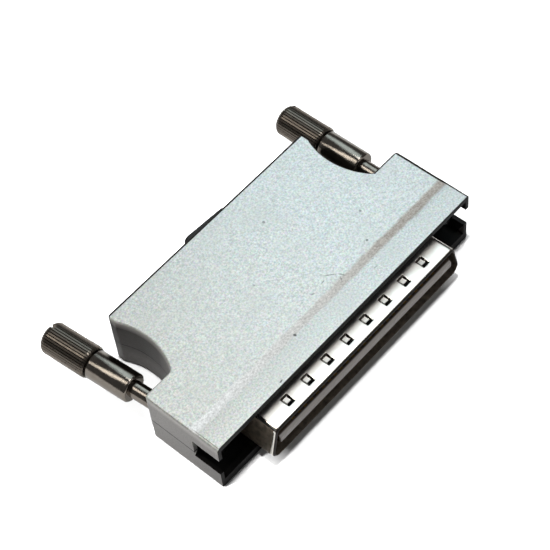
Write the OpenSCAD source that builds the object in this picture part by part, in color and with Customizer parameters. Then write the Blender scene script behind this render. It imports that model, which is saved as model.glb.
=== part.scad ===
// Two-cover cable hood for a 50-way half-pitch ribbon plug, with two captive thumbscrews.
// X runs across the hood, -Y is the mating side, +Y the cable side, Z is up from the base.
// The origin is the middle of the base face, so the rear edges of the ears lie at y = 0.

/* [Plug] */
// Contacts in each of the two rows
row_count = 25; // [18:1:34]
// Spacing of the contacts
pitch = 1.27; // [1.1:0.01:1.4]
// Height of the plug shell
shell_h = 6.4; // [5.8:0.1:7.2]
// How far the plug shell stands out of the hood
shell_out = 3.45; // [2.5:0.05:4.5]
// Thickness of the drawn sheet
sheet_t = 0.38; // [0.3:0.02:0.42]
// Thickness of the contact bar
bar_t = 1.76; // [1.6:0.02:2]
// Number of pressed dimples in the shell's top
dimple_count = 8; // [4:1:9]
// How far the loosely held plug sits off the hood's middle
plug_shift = 0.3; // [0:0.05:0.35]

/* [Hood] */
// How far each ear reaches beyond the plug shell
ear_reach = 6.6; // [6.4:0.1:8]
// Depth from the front edge to the rear wall
hood_d = 26.4; // [25:0.1:30]
// Depth of the ears from the front edge
ear_d = 13.2; // [12:0.1:14.5]
// How far the rear block stands in from each ear
rear_inset = 6.2; // [5.6:0.1:6.6]
// How deep the finger scallop cuts into the rear block
scallop_deep = 1.1; // [0.9:0.05:1.2]
// How far before the rear wall the scallop ends
scallop_end = 1.65; // [1.2:0.05:2.2]
// Thickness of the side walls
wall_t = 0.65; // [0.6:0.05:0.8]
// Thickness of the upper cover's roof
roof_t = 0.9; // [0.7:0.05:1]
// Thickness of the lower cover's floor
floor_t = 1.2; // [0.8:0.05:1.4]
// Free height between the plug's flange and the roof
roof_room = 0.9; // [0.7:0.05:1.5]
// Rise of the strip along the roof's front edge
strip_rise = 0.2; // [0.1:0.05:0.4]
// Depth of that strip
strip_d = 3.5; // [2.5:0.1:4.5]
// Length of the ramp behind the strip
ramp_d = 1.4; // [0.8:0.1:2]

/* [Side notches] */
// Depth of the notch in each ear's outer wall
notch_d = 4.7; // [3:0.1:6]
// How far the notch reaches below the screw axis
notch_down = 1.45; // [1.1:0.05:2]
// How far the notch reaches above the screw axis
notch_up = 2.4; // [1.5:0.05:2.9]

/* [Thumbscrews] */
// How far each screw's axis lies inside the ear's outer face
screw_inset = 2.3; // [2.3:0.05:2.5]
// Thread diameter of the screws
thread_dia = 2.6; // [2.2:0.1:2.6]
// Diameter of the smooth shank
shank_dia = 4.5; // [4:0.1:4.8]
// Length of the smooth shank
shank_l = 7.2; // [6:0.1:8]
// Diameter over the knurl
head_dia = 5; // [4.8:0.1:5.3]
// Length of the knurled head
head_l = 8.1; // [6.5:0.1:8.1]
// Number of knurl ridges round the head
knurl_count = 38; // [24:2:48]
// Length of neck that shows with a screw drawn back
neck_show = 4.6; // [3.5:0.1:4.6]
// How far the drawn-back screw tip hides behind the front edge
tip_hide = 1.6; // [1:0.1:3]
// Outward swing of the loose left screw
left_swing = 4.5; // [0:0.1:4.5]

/* [Cable exit] */
// How far the rim stands out of the rear wall
rim_out = 1; // [0.8:0.1:2]
// Turn of the loose bushing in its hole
rim_turn = 6; // [0:0.5:6]

/* [Hidden] */
$fn = 48;

// Widths, from the contact rows outwards
bar_end = 3.36;
bar_w = (row_count - 1) * pitch + 2 * bar_end;
shell_end = 1.8;
shell_w = bar_w + 2 * shell_end;
shell_lean = 0.95;
shell_top_w = shell_w - 2 * shell_lean;
hood_w = shell_w + 2 * ear_reach;
rear_half = hood_w / 2 - rear_inset;

// Heights, from the base upwards
flange_lip = 0.4;
flange_gap = 0.1;
flange_h = shell_h + 2 * flange_lip;
plug_z = floor_t + flange_gap + flange_h / 2;
shell_low = plug_z - shell_h / 2;
shell_high = plug_z + shell_h / 2;
hood_h = plug_z + flange_h / 2 + roof_room + roof_t;
screw_drop = 0.05;
screw_z = hood_h / 2 - screw_drop;
seam_drop = 0.45;
seam_z = screw_z - seam_drop;
seam_gap = 0.06;
notch_low = screw_z - notch_down;
notch_high = screw_z + notch_up;

// Main planes across the depth
ear_y = 0;
front_y = ear_y - ear_d;
rear_y = front_y + hood_d;
shell_front_y = front_y - shell_out;
roof_over = 0.25;
flange_depth = 4.6;
flange_y = front_y + flange_depth;
big = 100;
overlap = 0.05;
cut = 1;
touch_gap = 0.02;

// Outline of the hood
scallop_half = (rear_y - ear_y) / 2 - scallop_end;
scallop_r = (pow(scallop_half, 2) + pow(scallop_deep, 2)) / (2 * scallop_deep);
scallop_c = [rear_half - scallop_deep + scallop_r, (ear_y + rear_y) / 2];
ear_corner_r = 0.6;
rear_corner_r = 0.6;
scallop_fillet_r = 0.8;
roof_edge_r = 0.4;
base_edge_r = 0.5;
crown_skim = 0.03;
front_overrun = 4;
least_r = 0.05;
corner_steps = 5;
scallop_steps = 14;
scallop_lead = 4;
sill_d = 1;
sill_gap = 0.12;

// Plug
sheet_gap = 0.06;
shell_top_r = 0.9;
shell_low_r = 1.5;
section_steps = 8;
flange_ear = 1.8;
flange_w = shell_w + 2 * flange_ear;
housing_depth = 5.2;
housing_y = shell_front_y + housing_depth;
block_d = 4.4;
housing_end_y = flange_y + block_d;
block_side = 0.1;
block_w = shell_w + 2 * block_side;
block_h = shell_h - 2 * block_side;
bar_nose = 0.4;
bar_recess = 0.05;
contact_w = 0.62;
contact_t = 0.2;
contact_play = 0.03;
slot_deep = contact_t + 2 * contact_play;
contact_start = 0.5;
tail_start = 0.3;
tail_rise = 0.7;
tail_l = 3.4;
tail_end_y = housing_end_y + tail_l;
divider_short = 0.4;
frame_t = 0.35;
frame_short = 0.6;
rivet_out = 1.25;
rivet_x = shell_w / 2 + rivet_out;
rivet_r = 0.45;
rivet_head_r = 0.8;
rivet_head_t = 0.25;
dimple_end = 4.855;
dimple_pitch = (shell_top_w - 2 * dimple_end) / (dimple_count - 1);
dimple_w = 1.35;
dimple_deep = 0.2;
dimple_floor_t = 0.23;
dimple_front = 1.15;
dimple_l = 1.9;
dimple_ramp = 0.95;

// Posts that hold the flange
post_t = 0.8;
plug_play = 0.4;
post_x0 = block_w / 2 + sheet_gap + frame_t + plug_play;
post_w = 1;
post_x1 = post_x0 + post_w;
post_clear = 1.4;

// Thumbscrews
screw_x = hood_w / 2 - screw_inset;
neck_r = thread_dia / 2;
hole_play = 0.2;
hole_r = neck_r + hole_play;
neck_end = neck_show;
shank_end = neck_end + shank_l;
undercut_l = 0.3;
undercut_deep = 0.45;
knurl_deep = 0.2;
head_start = shank_end + undercut_l;
head_end = head_start + head_l;
tip_s = front_y + tip_hide - ear_y;
groove_deep = 0.42;
groove_r = neck_r - groove_deep;
clip_t = 0.5;
clip_play = 0.05;
clip_fit = 0.04;
clip_in = 1.6;
clip_s = ear_y - wall_t - clip_play - clip_in * sin(left_swing);
clip_out = 1.2;
clip_half_h = 2.4;
left_slot_turn = 108;
right_slot_turn = -50;

// Cable exit
cable_z = hood_h / 2;
rim_room = 0.07;
inner_rim_r = cable_z - floor_t - rim_room;
inner_rim_step = 0.38;
inner_rim_t = 1.1;
bushing_neck_r = inner_rim_r - inner_rim_step;
exit_hole_r = bushing_neck_r + sheet_gap;
bushing_wall = 0.5;
cable_r = bushing_neck_r - bushing_wall;
rim_side = 1.2;
rim_w = 2 * (cable_r + rim_side);
rim_top = 0.88;
rim_h = 2 * (cable_r + rim_top);
rim_corner_r = 0.8;
saddle_back = 8;
saddle_y0 = rear_y - saddle_back;
saddle_l = 4;
saddle_play = 0.05;
saddle_t = 0.8;
saddle_ear_t = 1.2;
saddle_split = 0.4;
small_screw_r = 1;
small_head_r = 1.7;
small_head_t = 1.2;
screw_play = 0.1;
recess_reach = 0.65;
recess_half_w = 0.22;
recess_start = 0.4;
nut_flats = 4;
nut_t = 1.5;
nut_show = 0.3;
nut_room = 0.1;
saddle_screw_x = cable_r + saddle_play + saddle_t + nut_flats / 2 + nut_room;
saddle_ear_w = 2 * (saddle_screw_x + small_head_r);
cradle_gap = nut_flats / cos(30) / 2 + nut_room - saddle_l / 2;
cradle_t = 0.8;
cradle_half_w = 7;
cradle_play = 0.4;
cradle_reach = 2.2;

// Cover screws
boss_in = 4.4;
boss_x = rear_half - boss_in;
boss_back = 4.6;
boss_y = rear_y - boss_back;
boss_r = 2.5;
insert_r = 1.55;
insert_l = 3;
insert_sink = 0.1;
insert_room = 0.4;
insert_spare = 0.2;
screw_head_r = 1.9;
screw_head_t = 1.3;
head_sink = 0.3;
thread_play = 0.02;

// Points of an arc about c
function arc(c, r, a0, a1, n) = [for (i = [0 : n])
  let (a = a0 + (a1 - a0) * i / n)
    c + r * [cos(a), sin(a)]];

function mirrored(points) = [for (i = [len(points) - 1 : -1 : 0]) [-points[i][0], points[i][1]]];

// Right half of the hood's outline, front to rear, drawn in by d
function half_outline(d) =
  let (
    ear_r = max(ear_corner_r - d, least_r),
    back_r = max(rear_corner_r - d, least_r),
    fillet_y = ear_y + scallop_fillet_r,
    reach = scallop_r - scallop_fillet_r,
    fillet_c = [scallop_c[0] - sqrt(pow(reach, 2) - pow(fillet_y - scallop_c[1], 2)), fillet_y],
    meet = 360 + atan2(fillet_c[1] - scallop_c[1], fillet_c[0] - scallop_c[0]),
    leave = acos((rear_half - d - scallop_c[0]) / (scallop_r + d))
  )
  concat(
    [[hood_w / 2 - d, front_y - front_overrun]],
    arc([hood_w / 2 - d - ear_r, ear_y - d - ear_r], ear_r, 0, 90, corner_steps),
    arc(fillet_c, scallop_fillet_r + d, 270, meet, corner_steps),
    arc(scallop_c, scallop_r + d, meet - scallop_lead, leave, scallop_steps),
    arc([rear_half - d - back_r, rear_y - d - back_r], back_r, 0, 90, corner_steps)
  );

function outline(d) = concat(half_outline(d), mirrored(half_outline(d)));

// Rounded trapezium of the plug shell in X and Z, drawn in by d
function shell_section(d) =
  let (
    lean = atan2((shell_w - shell_top_w) / 2, shell_h),
    top_r = shell_top_r - d,
    low_r = shell_low_r - d,
    top_c = [shell_top_w / 2 - shell_top_r, shell_high - shell_top_r],
    low_c = [shell_w / 2 - shell_low_r, shell_low + shell_low_r],
    side = concat(arc(low_c, low_r, -90, lean, section_steps), arc(top_c, top_r, lean, 90, section_steps))
  )
  concat(side, mirrored(side));

// Profile in X and Z, drawn out from y0 to y1
module slab_y(y0, y1) {
  translate([0, y1, 0])
    rotate([90, 0, 0])
      linear_extrude(y1 - y0)
        children();
}

// Profile in Y and Z, drawn out from x0 to x1
module slab_x(x0, x1) {
  translate([x0, 0, 0])
    rotate([90, 0, 90])
      linear_extrude(x1 - x0)
        children();
}

// Round bar along Y
module rod_y(r, y0, y1) {
  translate([0, y0, 0])
    rotate([-90, 0, 0])
      cylinder(r = r, h = y1 - y0);
}

module box(low, high) {
  translate(low)
    cube(high - low);
}

// Rectangle about the origin with round corners
module rounded_rect(w, h, r) {
  square([w - 2 * r, h], center = true);
  square([w, h - 2 * r], center = true);
  for (x = [-1, 1], y = [-1, 1])
    translate([x * (w / 2 - r), y * (h / 2 - r)])
      circle(r = r);
}

module both_sides() {
  for (side = [-1, 1])
    scale_x(side)
      children();
}

module scale_x(side) {
  if (side > 0)
    children();
  else
    mirror([1, 0, 0])
      children();
}

// Hood-shaped block from z0 to z1 with its upper edge rounded, before its crown is cut off flat
module rounded_block(z0, z1, r) {
  minkowski() {
    translate([0, 0, z0])
      linear_extrude(z1 - r - z0)
        polygon(outline(r));
    sphere(r = r, $fn = 16);
  }
}

// Screw hole in each ear, and the cable hole in the rear wall
module wall_holes() {
  both_sides()
    translate([screw_x, 0, screw_z])
      rod_y(hole_r, ear_y - wall_t - cut, ear_y + cut);
  translate([0, 0, cable_z])
    rod_y(exit_hole_r, rear_y - wall_t - cut, rear_y + cut);
}

// Pair of posts on each side that grip the plug's flange, from z0 to z1
module flange_posts(z0, z1) {
  stack = sheet_t + frame_t + 2 * sheet_gap;
  both_sides() {
    box([post_x0, flange_y - sheet_gap - post_t, z0], [post_x1, flange_y - sheet_gap, z1]);
    box([post_x0, flange_y + stack, z0], [post_x1, flange_y + stack + post_t, z1]);
  }
}

// Cross ribs that keep the cable clamp in place, from z0 to z1
module clamp_cradle(z0, z1) {
  for (y = [saddle_y0 - cradle_gap - cradle_t, saddle_y0 + saddle_l + cradle_gap])
    difference() {
      box([-cradle_half_w, y, z0], [cradle_half_w, y + cradle_t, z1]);
      translate([0, 0, cable_z])
        rod_y(cable_r + cradle_play, y - cut, y + cradle_t + cut);
    }
}

// Drawn strip along the roof's front edge with a ramp behind it
module roof_strip() {
  half = hood_w / 2 - roof_edge_r;
  slab_x(-half, half)
    polygon([[front_y - cut, hood_h - roof_t / 2], [front_y + strip_d + ramp_d, hood_h - roof_t / 2],
      [front_y + strip_d + ramp_d, hood_h - touch_gap], [front_y + strip_d, hood_h + strip_rise],
      [front_y - cut, hood_h + strip_rise]]);
}

// Moulded upper cover
module upper_cover() {
  low = seam_z + seam_gap / 2;
  color([0.80, 0.83, 0.83]) {
    difference() {
      union() {
        intersection() {
          rounded_block(low - cut, hood_h + crown_skim, roof_edge_r);
          box([-big, front_y - cut, low], [big, big, hood_h]);
        }
        roof_strip();
      }
      box([-big, -big, -big], [big, front_y - roof_over, big]);
      translate([0, 0, low - cut])
        linear_extrude(hood_h - roof_t - low + cut)
          polygon(outline(wall_t));
      both_sides()
        box([hood_w / 2 - 2 * wall_t, front_y - cut, low - cut],
          [hood_w / 2 + cut, front_y + notch_d, notch_high]);
      wall_holes();
    }
    roof_in = hood_h - roof_t;
    flange_posts(plug_z + post_clear, roof_in + overlap);
    clamp_cradle(cable_z + cradle_reach, roof_in + overlap);
    both_sides()
      translate([boss_x, boss_y, 0])
        difference() {
          translate([0, 0, low])
            cylinder(r = boss_r, h = roof_in + overlap - low);
          translate([0, 0, low - cut])
            cylinder(r = insert_r, h = cut + insert_sink + insert_l + insert_room);
        }
  }
}

// Moulded lower cover
module lower_cover() {
  high = seam_z - seam_gap / 2;
  color([0.62, 0.62, 0.61]) {
    difference() {
      intersection() {
        mirror([0, 0, 1])
          rounded_block(-high - cut, crown_skim, base_edge_r);
        box([-big, front_y, 0], [big, big, high]);
      }
      translate([0, 0, floor_t])
        linear_extrude(big)
          polygon(outline(wall_t));
      both_sides()
        box([hood_w / 2 - 2 * wall_t, front_y - cut, notch_low],
          [hood_w / 2 + cut, front_y + notch_d, high + cut]);
      wall_holes();
      both_sides()
        translate([boss_x, boss_y, -cut])
          cylinder(r = screw_head_r + screw_play, h = cut + head_sink + screw_head_t);
    }
    box([overlap - hood_w / 2 + wall_t / 2, front_y, floor_t - overlap],
      [hood_w / 2 - wall_t / 2 - overlap, front_y + sill_d, shell_low - sill_gap]);
    flange_posts(floor_t - overlap, plug_z - post_clear);
    clamp_cradle(floor_t - overlap, cable_z - cradle_reach);
    both_sides()
      translate([boss_x, boss_y, 0])
        difference() {
          translate([0, 0, floor_t - overlap])
            cylinder(r = boss_r, h = high - floor_t + overlap);
          translate([0, 0, -cut])
            cylinder(r = small_screw_r + screw_play, h = big);
          translate([0, 0, -cut])
            cylinder(r = screw_head_r + screw_play, h = cut + head_sink + screw_head_t);
        }
  }
}

// Rings of the drawn shell, from its outer rear edge over the rounded front edge to its inner rear edge
shell_steps = 5;
function shell_rings() = concat(
  [[0, flange_y + sheet_t]],
  [for (i = [0 : shell_steps]) let (a = 90 * i / shell_steps)
    [sheet_t * (1 - cos(a)), shell_front_y + sheet_t * (1 - sin(a))]],
  [[sheet_t, flange_y + sheet_t]]
);

module shell_tube() {
  rings = shell_rings();
  count = len(shell_section(0));
  turns = len(rings);
  points = [for (ring = rings) for (p = shell_section(ring[0])) [p[0], ring[1], p[1]]];
  faces = [for (r = [0 : turns - 1]) for (i = [0 : count - 1])
    let (j = (i + 1) % count, next = (r + 1) % turns)
      each [[r * count + i, next * count + j, r * count + j],
        [r * count + i, next * count + i, next * count + j]]];
  polyhedron(points, faces);
}

// Side view of one dimple, pressed in by a further d
module dimple_profile(d) {
  start = shell_front_y + dimple_front;
  top = shell_high + touch_gap - d;
  low = shell_high - dimple_deep - d;
  end = start + dimple_l + d;
  polygon([[start - d, top], [start + dimple_ramp - d, low], [end, low], [end, top]]);
}

module dimples(d) {
  for (i = [0 : dimple_count - 1]) {
    x = (i - (dimple_count - 1) / 2) * dimple_pitch;
    slab_x(x - dimple_w / 2 - d, x + dimple_w / 2 + d)
      dimple_profile(d);
  }
}

module flange_plate(thick) {
  slab_y(0, thick)
    difference() {
      translate([-flange_w / 2, plug_z - flange_h / 2])
        square([flange_w, flange_h]);
      children();
      for (side = [-1, 1])
        translate([side * rivet_x, plug_z])
          circle(r = rivet_r + thread_play);
    }
}

// Drawn sheet shell with its flange and the row of dimples
module plug_shell() {
  color([0.86, 0.86, 0.83])
    translate([plug_shift, 0, 0]) {
      difference() {
        union() {
          shell_tube();
          dimples(dimple_floor_t);
        }
        dimples(0);
      }
      translate([0, flange_y, 0])
        flange_plate(sheet_t)
          polygon(shell_section(sheet_t / 2));
    }
}

// Folded sheet frame behind the flange
module rear_frame() {
  y0 = flange_y + sheet_t + sheet_gap;
  inner = [block_w + 2 * sheet_gap, block_h + 2 * sheet_gap];
  color([0.72, 0.72, 0.70])
    translate([plug_shift, 0, 0]) {
      translate([0, y0, 0])
        flange_plate(frame_t)
          translate(-inner / 2 + [0, plug_z])
            square(inner);
      slab_y(y0, housing_end_y - frame_short)
        translate([0, plug_z])
          difference() {
            square(inner + 2 * frame_t * [1, 1], center = true);
            square(inner, center = true);
          }
    }
}

// Rivets that join the two sheets
module shell_rivets() {
  y1 = flange_y + sheet_t + sheet_gap + frame_t;
  color([0.6, 0.6, 0.58])
    for (side = [-1, 1])
      translate([plug_shift + side * rivet_x, 0, plug_z]) {
        rod_y(rivet_r, flange_y - rivet_head_t, y1 + rivet_head_t);
        rod_y(rivet_head_r, flange_y - rivet_head_t, flange_y - touch_gap);
        rod_y(rivet_head_r, y1 + touch_gap, y1 + rivet_head_t);
      }
}

function contact_x(i) = (i - (row_count - 1) / 2) * pitch;

// Moulded housing: the contact bar, the plug face and the block behind the flange
module contact_housing() {
  bar_y = shell_front_y + bar_recess;
  color([0.16, 0.13, 0.11])
    translate([plug_shift, 0, 0])
      difference() {
        union() {
          slab_x(-bar_w / 2, bar_w / 2)
            translate([0, plug_z])
              polygon([[bar_y, bar_nose - bar_t / 2], [bar_y + bar_nose, -bar_t / 2],
                [housing_y + cut, -bar_t / 2], [housing_y + cut, bar_t / 2],
                [bar_y + bar_nose, bar_t / 2], [bar_y, bar_t / 2 - bar_nose]]);
          slab_y(housing_y, flange_y + cut)
            polygon(shell_section(sheet_t + sheet_gap));
          slab_y(flange_y + sheet_t + sheet_gap, housing_end_y)
            translate([0, plug_z])
              square([block_w, block_h], center = true);
        }
        for (i = [0 : row_count - 1])
          for (face = [-1, 1])
            translate([contact_x(i), 0, plug_z + face * (bar_t / 2 - slot_deep / 2 + overlap / 2)])
              box([-contact_w / 2 - contact_play, bar_y + contact_start, -slot_deep / 2 - overlap / 2],
                [contact_w / 2 + contact_play, housing_end_y + cut, slot_deep / 2 + overlap / 2]);
      }
}

// One formed contact strip in the upper row, with its solder tail set outwards
module contact_strip() {
  y0 = shell_front_y + bar_recess + contact_start + contact_play;
  y1 = housing_end_y + tail_start;
  y2 = y1 + tail_rise;
  z0 = plug_z + bar_t / 2 - slot_deep + contact_play;
  slab_x(-contact_w / 2, contact_w / 2)
    polygon([[y0, z0], [y1 + contact_t / 2, z0], [y2 + contact_t / 2, z0 + tail_rise],
      [tail_end_y, z0 + tail_rise], [tail_end_y, z0 + tail_rise + contact_t],
      [y2, z0 + tail_rise + contact_t], [y1, z0 + contact_t], [y0, z0 + contact_t]]);
}

module contact_row() {
  color([0.80, 0.66, 0.34])
    for (i = [0 : row_count - 1])
      translate([plug_shift + contact_x(i), 0, 0])
        contact_strip();
}

module upper_contacts() {
  contact_row();
}

module lower_contacts() {
  translate([0, 0, 2 * plug_z])
    mirror([0, 0, 1])
      contact_row();
}

// Insulating bar between the two rows of solder tails
module tail_divider() {
  half_h = bar_t / 2 - slot_deep - overlap;
  color([0.85, 0.84, 0.80])
    translate([plug_shift, 0, plug_z])
      box([-bar_w / 2, housing_end_y + touch_gap, -half_h], [bar_w / 2, tail_end_y - divider_short, half_h]);
}

// Puts a part made along +Y on the axis of one thumbscrew
module on_screw_axis(side) {
  loose = side < 0 ? 1 : 0;
  translate([side * screw_x, ear_y, screw_z])
    rotate([0, 0, left_swing * loose])
      children();
}

function knurl_points() = [for (i = [0 : 2 * knurl_count - 1])
  let (r = head_dia / 2 - (i % 2 == 0 ? 0 : knurl_deep), a = 180 * i / knurl_count) r * [cos(a), sin(a)]];

// Turned screw with thread, clip groove, neck, shank and a knurled head with a slot across its end
module thumbscrew(slot_turn) {
  chamfer = 0.4;
  collar_chamfer = 0.15;
  head_chamfer = 0.45;
  groove_0 = clip_s - clip_t - clip_play;
  groove_1 = clip_s + clip_play;
  shank_r = shank_dia / 2;
  head_r = head_dia / 2;
  slot_w = 0.8;
  slot_d = 1;
  rotate([-90, 0, 0])
    difference() {
      union() {
        rotate_extrude()
          polygon([[0, tip_s], [neck_r - chamfer, tip_s], [neck_r, tip_s + chamfer], [neck_r, groove_0],
            [groove_r, groove_0], [groove_r, groove_1], [neck_r, groove_1], [neck_r, neck_end],
            [shank_r - chamfer, neck_end], [shank_r, neck_end + chamfer],
            [shank_r, shank_end - collar_chamfer], [shank_r - collar_chamfer, shank_end],
            [shank_r - undercut_deep, shank_end],
            [shank_r - undercut_deep, head_start + overlap], [0, head_start + overlap]]);
        intersection() {
          translate([0, 0, head_start])
            linear_extrude(head_l)
              polygon(knurl_points());
          rotate_extrude()
            polygon([[0, head_start], [head_r - collar_chamfer, head_start],
              [head_r, head_start + collar_chamfer],
              [head_r, head_end - head_chamfer], [head_r - head_chamfer, head_end], [0, head_end]]);
        }
      }
      rotate([0, 0, slot_turn])
        box([-head_dia, -slot_w / 2, head_end - slot_d], [head_dia, slot_w / 2, head_end + cut]);
    }
}

// Flat spring clip that sits in the screw's groove inside the ear
module screw_clip(side) {
  slot_r = groove_r + clip_fit;
  slab_y(clip_s - clip_t, clip_s)
    scale_x(side)
      difference() {
        translate([-clip_in, -clip_half_h])
          square([clip_in + clip_out, 2 * clip_half_h]);
        circle(r = slot_r);
        translate([-slot_r, -2 * clip_half_h])
          square([2 * slot_r, 2 * clip_half_h]);
      }
}

module left_thumbscrew() {
  color([0.36, 0.34, 0.32])
    on_screw_axis(-1)
      thumbscrew(left_slot_turn);
}

module right_thumbscrew() {
  color([0.36, 0.34, 0.32])
    on_screw_axis(1)
      thumbscrew(right_slot_turn);
}

module left_clip() {
  color([0.55, 0.55, 0.53])
    on_screw_axis(-1)
      screw_clip(-1);
}

module right_clip() {
  color([0.55, 0.55, 0.53])
    on_screw_axis(1)
      screw_clip(1);
}

// Rubber bushing that lines the cable hole
module cable_bushing() {
  inner_y = rear_y - wall_t - sheet_gap;
  color([0.09, 0.09, 0.09])
    translate([0, 0, cable_z])
      rotate([0, rim_turn, 0])
        difference() {
          union() {
            rod_y(inner_rim_r, inner_y - inner_rim_t, inner_y);
            rod_y(bushing_neck_r, inner_y - overlap, rear_y + sheet_gap + overlap);
            slab_y(rear_y + sheet_gap, rear_y + rim_out)
              rounded_rect(rim_w, rim_h, rim_corner_r);
          }
          rod_y(cable_r, inner_y - inner_rim_t - cut, rear_y + rim_out + cut);
        }
}

// Lower half of the cable clamp: a half-round saddle with two ears
module clamp_half() {
  saddle_r = cable_r + saddle_play;
  slab_y(saddle_y0, saddle_y0 + saddle_l)
    difference() {
      union() {
        circle(r = saddle_r + saddle_t);
        translate([-saddle_ear_w / 2, -saddle_split / 2 - saddle_ear_t])
          square([saddle_ear_w, saddle_ear_t]);
      }
      circle(r = saddle_r);
      translate([-big / 2, -saddle_split / 2])
        square(big);
    }
}

module drilled_clamp_half() {
  difference() {
    clamp_half();
    both_sides()
      translate([saddle_screw_x, saddle_y0 + saddle_l / 2, -big / 2])
        cylinder(r = small_screw_r + screw_play, h = big);
  }
}

module clamp_lower() {
  color([0.66, 0.66, 0.64])
    translate([0, 0, cable_z])
      drilled_clamp_half();
}

module clamp_upper() {
  color([0.66, 0.66, 0.64])
    translate([0, 0, cable_z])
      mirror([0, 0, 1])
        drilled_clamp_half();
}

// Cross-recessed pan-head screw, head underside at z = 0 and shank going down
module small_screw(length, head_r, head_t) {
  difference() {
    union() {
      cylinder(r = head_r, h = head_t);
      translate([0, 0, -length])
        cylinder(r = small_screw_r, h = length + overlap);
    }
    for (turn = [0, 90])
      rotate([0, 0, turn])
        box([-head_r * recess_reach, -recess_half_w, head_t * recess_start],
          [head_r * recess_reach, recess_half_w, head_t + cut]);
  }
}

module clamp_screws() {
  top = cable_z + saddle_split / 2 + saddle_ear_t + touch_gap;
  color([0.58, 0.58, 0.56])
    both_sides()
      translate([saddle_screw_x, saddle_y0 + saddle_l / 2, top])
        small_screw(2 * saddle_ear_t + saddle_split + nut_t + nut_show, small_head_r, small_head_t);
}

module clamp_nuts() {
  top = cable_z - saddle_split / 2 - saddle_ear_t - touch_gap;
  color([0.58, 0.58, 0.56])
    both_sides()
      translate([saddle_screw_x, saddle_y0 + saddle_l / 2, top - nut_t])
        difference() {
          rotate([0, 0, 30])
            cylinder(d = nut_flats / cos(30), h = nut_t, $fn = 6);
          translate([0, 0, -cut])
            cylinder(r = small_screw_r + thread_play, h = nut_t + 2 * cut);
        }
}

// Brass sleeves in the upper cover's bosses
module cover_inserts() {
  low = seam_z + seam_gap / 2 + insert_sink;
  color([0.78, 0.62, 0.30])
    both_sides()
      translate([boss_x, boss_y, low])
        difference() {
          cylinder(r = insert_r - thread_play, h = insert_l);
          translate([0, 0, -cut])
            cylinder(r = small_screw_r + thread_play, h = insert_l + 2 * cut);
        }
}

// Screws that close the hood from below
module cover_screws() {
  head_z = head_sink + screw_head_t - touch_gap;
  color([0.40, 0.40, 0.39])
    both_sides()
      translate([boss_x, boss_y, head_z])
        mirror([0, 0, 1])
          small_screw(seam_z + insert_l - head_z - insert_spare, screw_head_r, screw_head_t);
}

upper_cover();
lower_cover();
plug_shell();
rear_frame();
shell_rivets();
contact_housing();
upper_contacts();
lower_contacts();
tail_divider();
left_clip();
left_thumbscrew();
right_clip();
right_thumbscrew();
cable_bushing();
clamp_lower();
clamp_upper();
clamp_screws();
clamp_nuts();
cover_inserts();
cover_screws();
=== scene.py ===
import math

import bmesh
import bpy
from mathutils import Matrix, Vector
from mathutils.bvhtree import BVHTree


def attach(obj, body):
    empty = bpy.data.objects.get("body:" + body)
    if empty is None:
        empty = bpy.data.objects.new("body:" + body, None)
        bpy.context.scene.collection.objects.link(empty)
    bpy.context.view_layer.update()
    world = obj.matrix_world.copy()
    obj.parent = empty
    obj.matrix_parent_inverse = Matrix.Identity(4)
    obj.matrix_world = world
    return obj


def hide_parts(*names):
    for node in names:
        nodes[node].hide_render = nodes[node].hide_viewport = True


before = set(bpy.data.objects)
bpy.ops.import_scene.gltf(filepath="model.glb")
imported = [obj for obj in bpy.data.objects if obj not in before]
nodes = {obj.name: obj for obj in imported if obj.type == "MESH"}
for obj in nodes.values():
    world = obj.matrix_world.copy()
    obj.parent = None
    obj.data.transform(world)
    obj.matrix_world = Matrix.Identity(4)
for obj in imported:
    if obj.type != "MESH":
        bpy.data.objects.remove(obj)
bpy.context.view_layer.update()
MM = 0.001

# Covers of the hood: an upper and a lower moulding in black ABS that meet at a seam round the sides.
# They are sprayed silver grey from outside, so their insides stay black. Use has marked the roof. Painted
# shade darkens the walls, the scallops and the right and rear edges, and the ramp behind the front strip
# carries painted highlight and painted shade.
FRONT_Y = -13.2 * MM
SEAM_Z = 4.65 * MM
ROOF_Z = 10.3 * MM
ROOF_LOW = ROOF_Z - 0.2 * MM


def linear(code):
    """Linear colour of an sRGB hex value."""
    parts = [int(code[i:i + 2], 16) / 255 for i in (1, 3, 5)]
    return [c / 12.92 if c <= 0.04045 else ((c + 0.055) / 1.055) ** 2.4 for c in parts] + [1.0]


def add(tree, kind, inputs=None, **settings):
    """Adds a node with its settings, and sets or links its inputs."""
    made = tree.nodes.new(kind)
    for name, value in settings.items():
        setattr(made, name, value)
    for key, value in (inputs or {}).items():
        if isinstance(value, bpy.types.NodeSocket):
            tree.links.new(value, made.inputs[key])
        else:
            made.inputs[key].default_value = value
    return made


def start_finish(name, **sockets):
    """New material: its node tree, its shader with the sockets set, and the piece's own coordinates."""
    made = bpy.data.materials.new(name)
    made.use_nodes = True
    tree = made.node_tree
    shader = tree.nodes["Principled BSDF"]
    for socket, value in sockets.items():
        shader.inputs[socket.replace("_", " ")].default_value = value
    return made, tree, shader, add(tree, "ShaderNodeTexCoord").outputs["Object"]
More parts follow.
